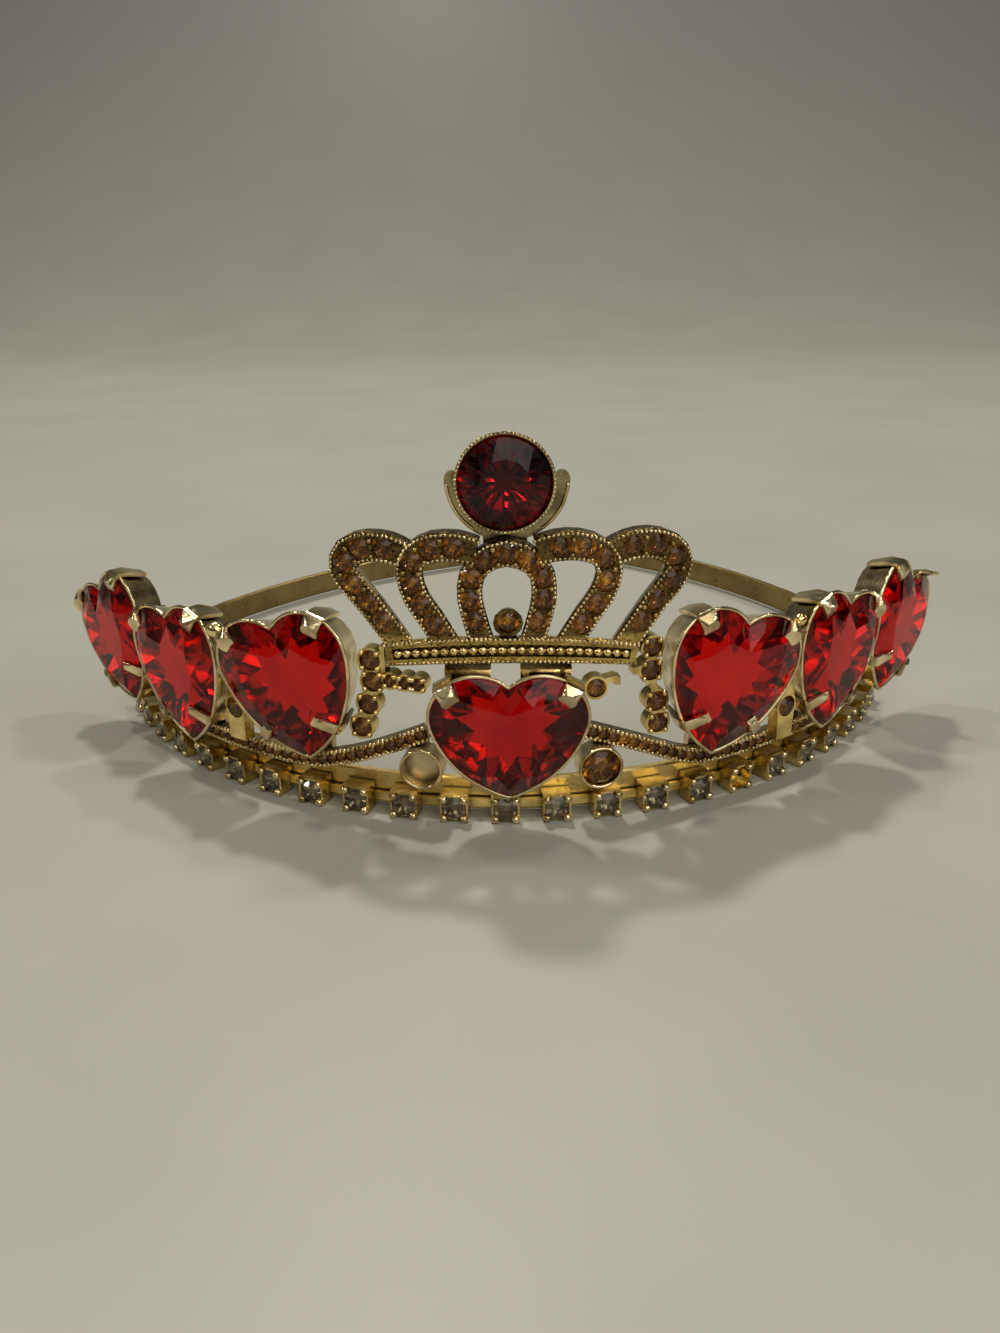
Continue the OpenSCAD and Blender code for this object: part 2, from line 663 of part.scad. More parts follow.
module side_chain(cups, extra) {
    color(gold) in_side_frame(cups) difference() {
        linear_extrude(side_t) {
            for (i = [0:len(cups) - 1])
                translate([side_x(cups, i), cups[i][1]]) circle(r = cups[i][2], $fn = 48);
            for (bar = extra) translate([bar[0] - cups[0][0], bar[1]]) rotate([0, 0, bar[4]])
                square([bar[2], bar[3]], center = true);
        }
        for (i = [0:len(cups) - 1]) translate([side_x(cups, i), cups[i][1], 0.6])
            cylinder(r = cups[i][2] - cup_wall, h = 5, $fn = 48);
    }
}

module side_stones(cups) {
    color(amber) in_side_frame(cups) for (i = [0:len(cups) - 1])
        translate([side_x(cups, i), cups[i][1], side_t - 0.1])
            small_stone(cups[i][2] - cup_wall - gap);
}

// Joining bars of the side chains: distance along the front, height, width, height, turn
bars_left = [[-14.5, 20.95, 0.6, 4.0, 0], [-16.2, 16.8, 1.4, 1.4, 0], [-17.1, 13.75, 1.4, 1.4, 0]];
bars_right = [[18.15, 17.25, 0.9, 2.4, 15], [18.7, 13.75, 1.4, 1.6, 5], [16.1, 19.5, 1.4, 0.9, 8]];
// Broken end of the upper chain on the right
stub = [[12.7, 18.6, 1.6, 0.7, 12], [13.5, 18.4, 0.7, 1.0, 0]];

module round_cup(place) {
    color(gold) at_front(deg_of(place[0]), round_r, place[1]) difference() {
        cylinder(r = place[2], h = round_t, $fn = 64);
        translate([0, 0, 0.9]) cylinder(r = place[2] - 0.35, h = 5, $fn = 64);
    }
}

module round_stone_right() {
    m = 8;
    r = round_right[2] - 0.35 - gap;
    color(amber) at_front(deg_of(round_right[0]), round_r + round_t - 0.2, round_right[1])
        large_stone(ring(0.3 * r, m, -1.1, 90), ring(r, 2 * m, -0.15, 90),
            ring(r, 2 * m, 0, 90), ring(0.58 * r, m, 0.85, 90));
}

link_cup_r = 1.7;
link_t = 1.6;
link_floor = 0.35;

module link(place, side) {
    color(gold) at_front(place[0], place[1], place[2]) mirror([side, 0, 0]) difference() {
        linear_extrude(link_t) {
            circle(r = link_cup_r, $fn = 48);
            polygon(link_outline);
        }
        translate([0, 0, link_floor]) cylinder(r = link_cup_r - cup_wall, h = 5, $fn = 48);
    }
}

module link_stone(place) {
    color(amber) at_front(place[0], place[1] + link_t - 0.1, place[2])
        small_stone(link_cup_r - cup_wall - gap);
}

module joint(place) {
    r = 0.6;
    long = 0.2;
    color(gold) at_front(place[0], place[1], place[2]) rotate([0, 90, 0]) {
        cylinder(r = r, h = long, center = true, $fn = 48);
        for (end = [-1, 1]) translate([0, 0, end * long / 2]) sphere(r = r, $fn = 48);
    }
}

headband();
base_chain();
base_chain_stones();
crown_emblem();
crown_stones();
top_setting();
top_stone();
strand(strand_path_left);  // strand_left
strand_set(strand_path_left);  // strand_left_stones
strand(strand_path_right);  // strand_right
strand_set(strand_path_right);  // strand_right_stones
side_chain(side_cups_left, bars_left);  // side_chain_left
side_stones(side_cups_left);  // side_stones_left
side_chain(side_cups_right, bars_right);  // side_chain_right
side_stones(side_cups_right);  // side_stones_right
side_chain(broken_cups, stub);  // broken_link
side_stones(broken_cups);  // broken_link_stone
round_cup(round_left);  // round_cup_left
round_cup(round_right);  // round_cup_right
round_stone_right();
link(link_left, 0);
link_stone(link_left);  // link_left_stone
link(link_right, 1);
link_stone(link_right);  // link_right_stone
joint(joint_left);
joint(joint_right);
for (i = [1:7]) {
    heart_setting(i);
    heart_stone(i);
}
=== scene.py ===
# Crown headband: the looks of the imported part. Metres, +Z up; the stones face -Y.
import math
from collections import namedtuple

import bmesh
import bpy
import numpy as np
from mathutils import Matrix, Vector


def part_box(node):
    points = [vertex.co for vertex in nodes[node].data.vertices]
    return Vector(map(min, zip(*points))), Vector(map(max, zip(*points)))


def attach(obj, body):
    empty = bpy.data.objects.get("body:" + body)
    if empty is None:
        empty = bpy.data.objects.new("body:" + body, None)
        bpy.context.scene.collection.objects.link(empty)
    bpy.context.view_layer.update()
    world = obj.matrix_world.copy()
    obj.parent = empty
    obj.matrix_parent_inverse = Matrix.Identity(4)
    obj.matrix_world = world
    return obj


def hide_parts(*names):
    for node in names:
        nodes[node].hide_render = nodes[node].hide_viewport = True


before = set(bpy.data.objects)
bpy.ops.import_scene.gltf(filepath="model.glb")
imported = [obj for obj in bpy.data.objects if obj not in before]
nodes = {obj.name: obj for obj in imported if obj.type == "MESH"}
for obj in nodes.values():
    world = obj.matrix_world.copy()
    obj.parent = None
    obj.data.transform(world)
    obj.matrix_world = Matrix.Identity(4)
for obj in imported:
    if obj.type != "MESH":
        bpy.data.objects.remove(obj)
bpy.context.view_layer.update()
MM = 0.001
# Points nearer than this, in millimetres, are one point
WELD = 0.002

# Sizes shared with the part's source, in millimetres
CENTRE = Vector((0.03, 8.25, 0))
FRONT_R = 62.8
HEART_W = 18.4
HEART_CROWN_H = 1.5
HEART_KEEL_H = 2.8
TABLE_SHARE = 0.62
GIRDLE = 0.3
LOBE_SHARE = 0.29
FLANK_SHARE = 0.775
CUP_STEP = 5.87
CUPS_A_SIDE = 11
CUP_W = 3.5
CHAIN_FRONT_R = 62.85
CUP_FRONT_R = 62.8

# Hearts, from the left: angle, girdle radius, height of the middle, stone height, tilt, lean,
# angle that the face turns to
Heart = namedtuple("Heart", "angle r z tall tilt lean face")
HEARTS = [Heart(*row) for row in [
    (-58.8, 65.5, 14.0, 17.7, 25.0, 0, -45.0),
    (-41.0, 65.0, 14.7, 17.7, 11.5, 0, -41.5),
    (-23.8, 64.8, 16.9, 17.7, 15.0, 0, -23.8),
    (0.4, 64.6, 12.4, 16.2, 0.0, 6, 0.4),
    (25.2, 64.8, 16.8, 17.7, -14.8, 0, 25.2),
    (42.1, 65.0, 15.6, 17.7, -13.0, 0, 42.5),
    (59.6, 65.8, 14.5, 17.7, -25.0, 0, 47.6),
]]


# Shader nodes

AO_SAMPLES = 6
# Most of a noise lies between these values
NOISE_LOW, NOISE_HIGH = 0.3, 0.7


class Nodes:
    """Short ways to add to a node tree. A colour is a tuple of three."""

    def __init__(self, tree, coordinates):
        self.tree = tree
        self.place = self.add("ShaderNodeTexCoord").outputs[coordinates]

    def put(self, socket, value):
        """Link a socket to another one, or set it to a number or a colour."""
        if isinstance(value, bpy.types.NodeSocket):
            self.tree.links.new(value, socket)
        elif socket.type == "RGBA":
            socket.default_value = (*value, 1)
        else:
            socket.default_value = value

    def feed(self, node, **inputs):
        """Link or set a node's inputs, named with _ in place of a space."""
        for name, value in inputs.items():
            self.put(node.inputs[name.replace("_", " ")], value)

    def add(self, kind, **inputs):
        """A new node with its inputs linked or set."""
        node = self.tree.nodes.new(kind)
        self.feed(node, **inputs)
        return node

    def noise(self, scale, detail, place=None):
        """Soft patches: how many in a unit of place, and how rough."""
        return self.add("ShaderNodeTexNoise", Scale=scale, Detail=detail,
                        Vector=place or self.place).outputs["Fac"]

    def along(self, axis):
        """The place along one axis."""
        return self.add("ShaderNodeSeparateXYZ", Vector=self.place).outputs[axis]

    def ramp(self, source, stops):
        """Two colours at their places along a value from 0 to 1."""
        node = self.add("ShaderNodeValToRGB", Fac=source)
        for element, (position, colour) in zip(node.color_ramp.elements, stops):
            element.position = position
            element.color = (*colour, 1)
        return node.outputs["Color"]

    def mix(self, share, first, second, blend="MIX"):
        """The first colour where share is 0, and what the blend makes of both where it is 1."""
        node = self.add("ShaderNodeMix")
        node.data_type, node.blend_type = "RGBA", blend
        self.feed(node, Factor=share)
        for socket, value in zip([i for i in node.inputs if i.type == "RGBA"], (first, second)):
            self.put(socket, value)
        return next(o for o in node.outputs if o.type == "RGBA")


class Shader(Nodes):
    """A material with a principled shader, patterned by places in millimetres."""

    def __init__(self, name):
        self.material = bpy.data.materials.new(name)
        self.material.use_nodes = True
        super().__init__(self.material.node_tree, "Object")
        self.metres = self.place
        self.place = self.stretched((1, 1, 1))

    def stretched(self, stretch):
        """Places in millimetres, stretched on each axis."""
        return self.add("ShaderNodeMapping", Vector=self.metres,
                        Scale=[s / MM for s in stretch]).outputs["Vector"]

    def cells(self, scale):
        """Round grains, scale of them in a millimetre."""
        return self.add("ShaderNodeTexVoronoi", Scale=scale, Vector=self.place).outputs["Distance"]

    def painted_shade(self, reach):
        """Painted shade: bright in the open, dark in corners nearer than reach, in millimetres."""
        node = self.add("ShaderNodeAmbientOcclusion", Distance=reach * MM)
        node.samples = AO_SAMPLES
        return node.outputs["AO"]

    def ranged(self, source, low, high, source_low=NOISE_LOW, source_high=NOISE_HIGH):
        """A value, such as a noise, spread over the range from low to high."""
        return self.add("ShaderNodeMapRange", Value=source, From_Min=source_low,
                        From_Max=source_high, To_Min=low, To_Max=high).outputs["Result"]

    def before(self, low, high, axis="Z"):
        """1 before the place low on an axis and 0 after high, in millimetres."""
        return self.ranged(self.along(axis), 1, 0, low, high)

    def bump(self, height, strength, depth, onto=None):
        """A relief of a depth in millimetres, added onto another one."""
        node = self.add("ShaderNodeBump", Height=height, Strength=strength, Distance=depth * MM)
        if onto:
            self.feed(node, Normal=onto)
        return node.outputs["Normal"]

    def finish(self, **inputs):
        """The material, with these inputs of its principled shader linked or set."""
        self.feed(self.tree.nodes["Principled BSDF"], **inputs)
        return self.material


BLACK = (0, 0, 0)
WHITE = (1, 1, 1)


def metal(name, bright, dull, shade_tone, rough, painted_shade=0.0, depth=0.03):
    """Plated metal: two tones in patches, and a cast grain. Corners nearer than the given reach,
    in millimetres, are darkened: painted shade."""
    s = Shader(name)
    colour = s.ramp(s.noise(0.35, 5), [(0.38, dull), (0.6, bright)])
    if painted_shade:
        # Painted shade: darker in corners, by ambient occlusion
        corners = s.ramp(s.painted_shade(painted_shade), [(0.25, BLACK), (0.85, WHITE)])
        colour = s.mix(corners, shade_tone, colour)
    fine = s.bump(s.noise(4, 4), 0.5, depth)
    waves = s.bump(s.noise(0.6, 2), 0.35, 0.12, fine)
    return s.finish(Base_Color=colour, Metallic=1.0, Roughness=s.ranged(s.noise(1.2, 4), *rough),
                    Normal=waves)


# Height over which the tones of a foot turn into those above it
FOOT_BLEND = 0.6


def granular(name, bright, dull, shade_tone, cell, depth, foot=None, foot_top=0.0):
    """Metal cast with a skin of tiny grains, with painted shade in its corners. Below foot_top its
    bright and dull tones are those of foot."""
    s = Shader(name)
    spread = s.noise(0.5, 5)
    patches = s.ramp(spread, [(0.35, dull), (0.6, bright)])
    if foot:
        low = s.ramp(spread, [(0.35, foot[1]), (0.6, foot[0])])
        patches = s.mix(s.before(foot_top, foot_top + FOOT_BLEND), patches, low)
    # Painted shade: darker in corners nearer than 0.7 mm, by ambient occlusion
    corners = s.ramp(s.painted_shade(0.7), [(0.2, BLACK), (0.8, WHITE)])
    grains = s.bump(s.cells(1 / cell), 0.8, -depth)
    fine = s.bump(s.noise(5, 3), 0.4, 0.03, grains)
    return s.finish(Base_Color=s.mix(corners, shade_tone, patches), Metallic=1.0,
                    Roughness=s.ranged(s.noise(1.5, 4), 0.14, 0.32), Normal=fine)


def glass(name, light, deep, painted_glint=None, ior=1.54):
    """Tinted glass with faint streaks and a lightly worn polish. Given a bright colour, it lights
    up in a few places: painted glints. A low ior gives it faint reflections."""
    s = Shader(name)
    tint = s.ramp(s.noise(0.25, 4), [(0.35, deep), (0.6, light)])
    if painted_glint:
        # Painted glints: a few patches in a bright tint
        places = s.ramp(s.noise(0.55, 1), [(0.60, BLACK), (0.63, WHITE)])
        tint = s.mix(places, tint, painted_glint)
    wear = s.bump(s.noise(1.4, 4), 0.06, 0.03)
    return s.finish(Base_Color=tint, Roughness=0.01, IOR=ior, Transmission_Weight=1.0,
                    Normal=wear)


def foil(name, bright, dull, rough=0.08, mirror=1.0):
    """Foil behind a stone, a little uneven. What mirror leaves of it is soft."""
    s = Shader(name)
    tone = s.ramp(s.noise(0.6, 4), [(0.35, dull), (0.65, bright)])
    return s.finish(Base_Color=tone, Metallic=mirror, Roughness=rough,
                    Normal=s.bump(s.noise(0.9, 3), 0.1, 0.05))


# Dark tone of the painted shade in corners
SHADE_TONE = (0.05, 0.03, 0.01)
CROWN_GOLD = granular("crown_gold", (0.21, 0.14, 0.05), (0.10, 0.063, 0.024),
                      (0.02, 0.012, 0.006), cell=0.5, depth=0.16,
                      foot=((0.66, 0.47, 0.13), (0.34, 0.23, 0.06)), foot_top=24.0)
RIM_GOLD = metal("rim_gold", (0.94, 0.78, 0.46), (0.42, 0.31, 0.13), SHADE_TONE,
                 rough=(0.06, 0.16), depth=0.02)
BEAD_GOLD = metal("bead_gold", (0.96, 0.78, 0.38), (0.74, 0.54, 0.20), SHADE_TONE,
                  rough=(0.06, 0.16), depth=0.02)
PRONG_GOLD = metal("prong_gold", (0.56, 0.40, 0.15), (0.24, 0.16, 0.05), SHADE_TONE,
                   rough=(0.06, 0.16), depth=0.02)
CHAIN_GOLD = metal("chain_gold", (0.98, 0.76, 0.30), (0.56, 0.40, 0.13), (0.03, 0.02, 0.008),
                   painted_shade=1.0, rough=(0.08, 0.22), depth=0.08)
SETTING_GOLD = metal("setting_gold", (0.98, 0.82, 0.50), (0.60, 0.46, 0.24),
                     (0.06, 0.035, 0.02), painted_shade=0.9, rough=(0.06, 0.2), depth=0.06)
WING_GOLD = metal("wing_gold", (0.46, 0.38, 0.20), (0.20, 0.16, 0.08), SHADE_TONE, painted_shade=0.8,
                  rough=(0.12, 0.3), depth=0.08)
# Its painted shade darkens the round cup's hollow towards its wall
SATIN_GOLD = metal("satin_gold", (0.86, 0.70, 0.42), (0.66, 0.50, 0.26), SHADE_TONE,
                   painted_shade=1.6, rough=(0.28, 0.4))
GRAIN_GOLD = granular("grain_gold", (0.36, 0.25, 0.09), (0.16, 0.10, 0.04),
                      (0.03, 0.018, 0.008), cell=0.45, depth=0.14)
RED_GLASS = glass("red_glass", (0.78, 0.014, 0.007), (0.60, 0.005, 0.010), ior=1.4)
MAROON_GLASS = glass("maroon_glass", (0.24, 0.005, 0.010), (0.13, 0.003, 0.010), ior=1.36)
# Amber glass with painted glints in bright yellow
AMBER_GLASS = glass("amber_glass", (0.36, 0.20, 0.055), (0.18, 0.095, 0.03),
                    painted_glint=(0.98, 0.62, 0.10), ior=1.45)
SMOKY_GLASS = glass("smoky_glass", (0.60, 0.52, 0.40), (0.42, 0.35, 0.26))
RED_FOIL = foil("red_foil", (0.90, 0.44, 0.42), (0.66, 0.26, 0.30), mirror=0.95)
# A brighter copy of the red foil, on the flat keel only: painted reflection
RED_KEEL_PAINTED_SHINE = foil("red_keel_painted_shine", (1.0, 0.66, 0.40), (1.0, 0.50, 0.34))
MAROON_FOIL = foil("maroon_foil", (0.75, 0.32, 0.30), (0.5, 0.16, 0.16))
AMBER_FOIL = foil("amber_foil", (0.95, 0.78, 0.45), (0.50, 0.34, 0.16), mirror=0.85)
SMOKY_FOIL = foil("smoky_foil", (0.80, 0.76, 0.64), (0.5, 0.46, 0.38), mirror=0.85)
BACK_FOIL = foil("back_foil", (0.66, 0.62, 0.50), (0.44, 0.40, 0.30), rough=0.28)


def band_metal():
    """Satin strip, brushed along its length, with small stain specks and painted shade behind."""
    s = Shader("band_gold")
    brushed = s.noise(1.0, 4, s.stretched((0.15, 0.15, 9)))
    spread = s.noise(0.12, 5)
    front = s.ramp(spread, [(0.4, (0.60, 0.45, 0.16)), (0.6, (0.80, 0.61, 0.25))])
    # Painted shade: the band's far side in darker copies of its tones
    behind = s.ramp(spread, [(0.4, (0.235, 0.165, 0.06)), (0.6, (0.33, 0.235, 0.095))])
    painted_shade_behind = s.mix(s.before(-40, 10, "Y"), behind, front)
    specks = s.ramp(s.noise(1.3, 5), [(0.30, (0.25, 0.19, 0.09)), (0.40, WHITE)])
    tone = s.mix(0.6, painted_shade_behind, specks, "MULTIPLY")
    return s.finish(Base_Color=tone, Metallic=1.0, Roughness=s.ranged(brushed, 0.26, 0.44),
                    Normal=s.bump(brushed, 0.25, 0.02))


# Places on the part

def turn(angle, axis):
    """A turn in degrees."""
    return Matrix.Rotation(math.radians(angle), 4, axis)


def at_front(angle, r, z):
    """The source's frame on the front: x to the right, y up and z outwards."""
    return (Matrix.Translation(CENTRE) @ turn(angle, "Z") @ Matrix.Translation((0, -r, z))
            @ turn(90, "X"))


def at_heart(heart):
    """The frame of a heart's girdle: x along its width, y towards its notch and z outwards."""
    return (at_front(heart.angle, heart.r, heart.z) @ turn(heart.face - heart.angle, "Y")
            @ turn(heart.lean, "X") @ turn(heart.tilt, "Z"))


def outwards(p):
    """Away from the band's centre, level."""
    return Vector((p[0] - CENTRE.x, p[1] - CENTRE.y, 0)).normalized()


def frame_towards(centre, axis):
    """A frame at centre whose z is the axis, with its y as near upright as it can be."""
    z = Vector(axis).normalized()
    x = Vector((0, 0, 1)).cross(z).normalized()
    y = z.cross(x)
    return Matrix.Translation(centre) @ Matrix((x, y, z)).transposed().to_4x4()


def welded(name):
    """A CAD node's mesh with its doubled points joined, in millimetres."""
    mesh = bmesh.new()
    mesh.from_mesh(nodes[name].data)
    bmesh.ops.scale(mesh, vec=(1 / MM,) * 3, verts=mesh.verts)
    bmesh.ops.remove_doubles(mesh, verts=mesh.verts, dist=WELD)
    mesh.normal_update()
    return mesh


def loose_parts(name):
    """The points of each loose solid of a CAD node."""
    mesh = welded(name)
    left = set(mesh.verts)
    parts = []
    for first in mesh.verts:
        if first not in left:
            continue
        left.remove(first)
        stack, found = [first], []
        while stack:
            v = stack.pop()
            found.append(v.co[:])
            for e in v.link_edges:
                other = e.other_vert(v)
                if other in left:
                    left.remove(other)
                    stack.append(other)
        parts.append(np.array(found))
    mesh.free()
    return sorted(parts, key=lambda p: tuple(np.round(p.mean(0), 3)))


def stone_place(points):
    """A stone's girdle: the frame at its middle, with its z through the table, and its radius."""
    rim_share = 0.96
    middle = points.mean(0)
    axis = np.linalg.svd(points - middle)[2][2]
    if np.dot(axis, outwards(middle)) < 0:
        axis = -axis
    flat = points - middle - np.outer((points - middle) @ axis, axis)
    far = np.linalg.norm(flat, axis=1)
    girdle = points[far > rim_share * far.max()]
    return frame_towards(Vector(girdle.mean(0)), axis), float(far.max())


def stone_places(name):
    """The girdle of each stone of a CAD node."""
    return [stone_place(p) for p in loose_parts(name)]


# Mesh pieces

class Build:
    """Points in millimetres, and faces with the number of their material."""

    def __init__(self):
        self.points, self.faces, self.finishes = [], [], []

    def add(self, place, points, faces, finish=0):
        start = len(self.points)
        self.points += [place @ Vector(p) for p in points]
        self.faces += [[start + i for i in f] for f in faces]
        self.finishes += [finish] * len(faces)

    def piece(self, name, materials, slot, stands_for=(), smooth=False):
        """A visible piece on the part, in place of the CAD nodes that it stands for."""
        mesh = bpy.data.meshes.new(name)
        mesh.from_pydata([p * MM for p in self.points], [], self.faces)
        for m in materials:
            mesh.materials.append(m)
        mesh.polygons.foreach_set("material_index", self.finishes)
        mesh.polygons.foreach_set("use_smooth", [smooth] * len(self.faces))
        mesh.update()
        obj = bpy.data.objects.new(name, mesh)
        bpy.context.scene.collection.objects.link(obj)
        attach(obj, "root")
        if stands_for:
            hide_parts(*stands_for)


def ball(segments=8, rings=5):
    """Points and faces of a unit sphere."""
    points = [(0, 0, 1)]
    for i in range(1, rings):
        polar = math.pi * i / rings
        for j in range(segments):
            a = 2 * math.pi * j / segments
            points.append((math.sin(polar) * math.cos(a), math.sin(polar) * math.sin(a),
                           math.cos(polar)))
    points.append((0, 0, -1))
    last = len(points) - 1
    faces = [(0, 1 + j, 1 + (j + 1) % segments) for j in range(segments)]
    for i in range(rings - 2):
        a, b = 1 + i * segments, 1 + (i + 1) * segments
        faces += [(a + j, b + j, b + (j + 1) % segments, a + (j + 1) % segments)
                  for j in range(segments)]
    low = 1 + (rings - 2) * segments
    faces += [(last, low + (j + 1) % segments, low + j) for j in range(segments)]
    return points, faces


BALL = ball()


def add_bead(build, place, size, stretch=(1, 1, 1)):
    """A bead of a radius, stretched on each axis of its place."""
    shape = Matrix.Diagonal((*[size * s for s in stretch], 1))
    build.add(place @ shape, *BALL)


# Cut stones

def heart_side(w, h, grow=0.0):
    """Right side of a heart moved outwards by grow, from the notch to the tip, closely drawn."""
    lobe, flank = LOBE_SHARE * w, FLANK_SHARE * w
    cx, cy = w / 2 - lobe, h / 2 - lobe
    d = flank - lobe
    v = math.hypot(cx, cy + h / 2)
    bend = math.atan2(cy + h / 2, cx) - math.acos((v * v + d * d - flank * flank) / (2 * d * v))
    fx, fy = cx - d * math.cos(bend), cy - d * math.sin(bend)
    lobe, flank = lobe + grow, flank + grow
    notch = math.pi - math.acos(cx / lobe)
    tip = -math.acos(-fx / flank)
    steps = 40
    points = [(cx + lobe * math.cos(a), cy + lobe * math.sin(a))
              for a in np.linspace(notch, bend, steps)]
    points += [(fx + flank * math.cos(a), fy + flank * math.sin(a))
               for a in np.linspace(bend, tip, steps)[1:]]
    return np.array(points)


def resampled(points, count):
    """count steps of equal length along a line of points."""
    steps = np.linalg.norm(np.diff(points, axis=0), axis=1)
    run = np.concatenate([[0], np.cumsum(steps)])
    at = np.linspace(0, run[-1], count + 1)
    return np.stack([np.interp(at, run, points[:, k]) for k in range(points.shape[1])], 1)


def heart_outline(w, h, mains, grow=0.0):
    """A heart of 4 points for each main facet, counterclockwise from the notch."""
    side = resampled(heart_side(w, h, grow), 2 * mains)
    left = side * (-1, 1)
    return np.concatenate([left, side[-2:0:-1]])


def round_outline(r, mains, power=2):
    """A circle, or with a higher power a cushion with rounded corners."""
    a = np.linspace(0, 2 * math.pi, 4 * mains, endpoint=False) + math.pi / 2
    reach = r / (np.abs(np.cos(a)) ** power + np.abs(np.sin(a)) ** power) ** (1 / power)
    return np.stack([reach * np.cos(a), reach * np.sin(a)], 1)


# Reach of the keel's star, as shares of the outline: its inner and outer points
HEART_STAR = (0.46, 0.62)
ROUND_STAR = (0.2, 0.3)
# Place of the points between table and girdle: between the two outlines, and up the crown
STAR_OUT = 0.5
STAR_UP = 0.62


def stone_back(outline, girdle, keel, star, flip=False):
    """A stone's girdle line, its star-shaped flat keel, and the chevrons between them."""
    n = len(outline)
    mains = n // 4
    points = [(x, y, -girdle) for x, y in outline]
    for k, (x, y) in enumerate(outline[::2]):
        share = star[k % 2]
        points.append((x * share, y * share, -girdle - keel))
    faces = [tuple(n + k for k in reversed(range(2 * mains)))]
    for i in range(mains):
        corner, inner, before = 4 * i, n + 2 * i, n + (2 * i - 1) % (2 * mains)
        outer = inner + 1
        faces += [(corner, before, inner), (corner, inner, outer)]
        faces += [(outer, (corner + k + 1) % n, corner + k) for k in range(4)]
    return points, [f[::-1] for f in faces] if flip else faces


def cut_stone(build, place, outline, table, crown, keel, girdle, star=HEART_STAR,
              keel_shine_finish=None):
    """A brilliant-cut stone: table, stars, kites and girdle facets in front, chevrons and a flat
    keel behind. Finish 0 is its glass and finish 1 the foil behind it."""
    n = len(outline)
    mains = n // 4
    middle = table + STAR_OUT * (1 - table)
    points = [(x, y, 0) for x, y in outline]
    points += [(x, y, -girdle) for x, y in outline]
    points += [(x * middle, y * middle, STAR_UP * crown) for x, y in outline[2::4]]
    points += [(x * table, y * table, crown) for x, y in outline[::4]]
    m, t = 2 * n, 2 * n + mains
    front = [[t + i for i in range(mains)]]
    for i in range(mains):
        before, after = (i - 1) % mains, (i + 1) % mains
        front.append((t + i, m + i, t + after))
        front.append((t + i, m + before, 4 * i))
        front.append((t + i, 4 * i, m + i))
        front += [(m + i, 4 * i + k, (4 * i + k + 1) % n) for k in range(4)]
    front += [(j, n + j, n + (j + 1) % n, (j + 1) % n) for j in range(n)]
    build.add(place, points, front, 0)
    back_points, back_faces = stone_back(outline, girdle, keel, star)
    build.add(place, back_points, back_faces, 1)
    # The keel's own brighter foil is a painted reflection
    if keel_shine_finish:
        build.finishes[-len(back_faces)] = keel_shine_finish


def foil_shell(build, place, outline, keel, girdle):
    """A thin closed cup right behind a heart's chevrons."""
    off, thick = 0.05, 0.05
    near, inside = stone_back(outline, girdle + off, keel, HEART_STAR, flip=True)
    far, outside = stone_back(outline, girdle + off + thick, keel, HEART_STAR)
    n, size = len(outline), len(near)
    rim = [(j, size + j, size + (j + 1) % n, (j + 1) % n) for j in range(n)]
    build.add(place, near + far, inside + [tuple(size + i for i in f) for f in outside] + rim)


def tube(build, place, line, radius, closed=True):
    """A round wire along a flat line of points."""
    sides = 8
    line = np.array(line)
    up = np.array((0, 0, 1))
    count = len(line)
    if closed:
        along = np.roll(line, -1, 0) - np.roll(line, 1, 0)
    else:
        along = np.gradient(line, axis=0)
    along /= np.linalg.norm(along, axis=1, keepdims=True)
    across = np.stack([along[:, 1], -along[:, 0], np.zeros(count)], 1)
    points = []
    for p, a in zip(line, across):
        for k in range(sides):
            turned = 2 * math.pi * k / sides
            points.append(p + radius * (math.cos(turned) * a + math.sin(turned) * up))
    faces = []
    for i in range(count if closed else count - 1):
        j = (i + 1) % count
        faces += [(i * sides + k, i * sides + (k + 1) % sides, j * sides + (k + 1) % sides,
                   j * sides + k) for k in range(sides)]
    if not closed:
        faces += [tuple(reversed(range(sides))),
                  tuple((count - 1) * sides + k for k in range(sides))]
    build.add(place, points, faces)


HEART_MAINS = 11
BEZEL_MAINS = 16
BEZEL_R = 0.24


def heart_stones():
    """The cut, the foil and the bezel wire of each heart."""
    for number, heart in enumerate(HEARTS, 1):
        outline = heart_outline(HEART_W, heart.tall, HEART_MAINS)
        stone = Build()
        cut_stone(stone, at_heart(heart), outline, TABLE_SHARE, HEART_CROWN_H, HEART_KEEL_H,
                  GIRDLE, keel_shine_finish=2)
        stone.piece(f"heart_cut_{number}", [RED_GLASS, RED_FOIL, RED_KEEL_PAINTED_SHINE], "red_stone",
                    [f"heart_stone_{number}"])
        shell = Build()
        foil_shell(shell, at_heart(heart), outline, HEART_KEEL_H, GIRDLE)
        shell.piece(f"heart_foil_{number}", [BACK_FOIL], "setting_metal")
        bezel = Build()
        line = heart_outline(HEART_W, heart.tall, BEZEL_MAINS, BEZEL_R)
        tube(bezel, at_heart(heart), [(x, y, -GIRDLE / 2) for x, y in line], BEZEL_R)
        bezel.piece(f"heart_bezel_{number}", [SETTING_GOLD], "setting_metal", smooth=True)


def round_stones(name, node, glass_and_foil, slot, mains=8, table=0.56, crown=0.36, keel=0.62,
                 power=2, grow=0.08, lift=0.0):
    """A finer cut in place of each stone of a node. Crown and keel are shares of its radius."""
    girdle = 0.04
    build = Build()
    for place, girdle_r in stone_places(node):
        r = girdle_r + grow
        cut_stone(build, place @ Matrix.Translation((0, 0, lift)), round_outline(r, mains, power),
                  table, crown * r, keel * r, girdle * r, ROUND_STAR)
    build.piece(name, glass_and_foil, slot, [node])


# Beads, prongs and rims

# How squarely a face looks outwards: a front face, and the range of a bevel
FRONT_FACING = 0.93
BEVEL_FACING = (0.3, 0.9)


